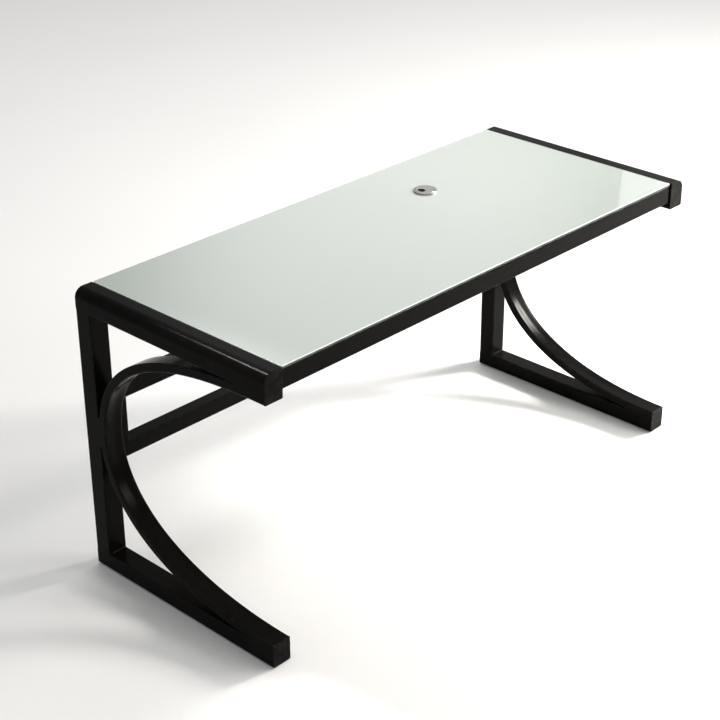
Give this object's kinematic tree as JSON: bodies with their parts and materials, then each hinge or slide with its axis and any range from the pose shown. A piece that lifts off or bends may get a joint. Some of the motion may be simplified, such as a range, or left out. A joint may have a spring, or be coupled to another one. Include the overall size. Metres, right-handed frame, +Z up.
{
  "type": "computer desk",
  "caption": "Glass-topped computer desk on two C-shaped steel side frames with a rear ladder frame and a cable grommet.",
  "frame": {"origin": "on the floor, under the middle of the desk's footprint", "axes": "+X along the desk's width to the user's right, +Y to the rear, +Z up; the user sits at -Y"},
  "size_m": [1.5, 0.618, 0.7428],
  "materials": {
    "black_steel": "satin black powder coat",
    "painted_glass": "polished tempered glass, back painted pale green-white, opaque",
    "grommet_metal": "satin silver-grey",
    "zinc_steel": "bright zinc plate",
    "rubber_pad": "matte black rubber",
    "silicone_pad": "translucent white silicone"
  },
  "bodies": {
    "desk": {"top_rail_left": "black_steel", "rear_post_left": "black_steel", "foot_rail_left": "black_steel", "curved_brace_left": "black_steel", "rail_front_plate_left": "black_steel", "rail_rear_plate_left": "black_steel", "foot_front_plate_left": "black_steel", "foot_rear_plate_left": "black_steel", "foot_pad_front_left": "rubber_pad", "foot_pad_rear_left": "rubber_pad", "top_rail_right": "black_steel", "rear_post_right": "black_steel", "foot_rail_right": "black_steel", "curved_brace_right": "black_steel", "rail_front_plate_right": "black_steel", "rail_rear_plate_right": "black_steel", "foot_front_plate_right": "black_steel", "foot_rear_plate_right": "black_steel", "foot_pad_front_right": "rubber_pad", "foot_pad_rear_right": "rubber_pad", "lower_cross_bar": "black_steel", "upper_cross_bar": "black_steel", "ladder_upright_left": "black_steel", "ladder_bolt_lower_left": "zinc_steel", "weld_nut_lower_left": "zinc_steel", "ladder_bolt_upper_left": "zinc_steel", "weld_nut_upper_left": "zinc_steel", "ladder_upright_right": "black_steel", "ladder_bolt_lower_right": "zinc_steel", "weld_nut_lower_right": "zinc_steel", "ladder_bolt_upper_right": "zinc_steel", "weld_nut_upper_right": "zinc_steel", "front_rail": "black_steel", "rear_rail": "black_steel", "cleat_front_left": "black_steel", "cleat_screw_front_left_side": "zinc_steel", "cleat_screw_front_left_rail": "zinc_steel", "cleat_rear_left": "black_steel", "cleat_screw_rear_left_side": "zinc_steel", "cleat_screw_rear_left_rail": "zinc_steel", "cleat_front_right": "black_steel", "cleat_screw_front_right_side": "zinc_steel", "cleat_screw_front_right_rail": "zinc_steel", "cleat_rear_right": "black_steel", "cleat_screw_rear_right_side": "zinc_steel", "cleat_screw_rear_right_rail": "zinc_steel", "glass_top": "painted_glass", "glass_pad_front_1": "silicone_pad", "glass_pad_front_2": "silicone_pad", "glass_pad_front_3": "silicone_pad", "glass_pad_rear_1": "silicone_pad", "glass_pad_rear_2": "silicone_pad", "glass_pad_rear_3": "silicone_pad"},
    "grommet": {"grommet_liner": "grommet_metal"},
    "cap": {"grommet_cap": "grommet_metal"}
  },
  "joints": [
    {"name": "grommet_turn", "type": "hinge", "parent": "desk", "child": "grommet", "pos_m": [0.2305, 0.124, 0.738], "axis": [0, 0, 1], "continuous": true},
    {"name": "cap_lift", "type": "slide", "parent": "grommet", "child": "cap", "axis": [0, 0, 1], "range_m": [0, 0.03]}
  ]
}
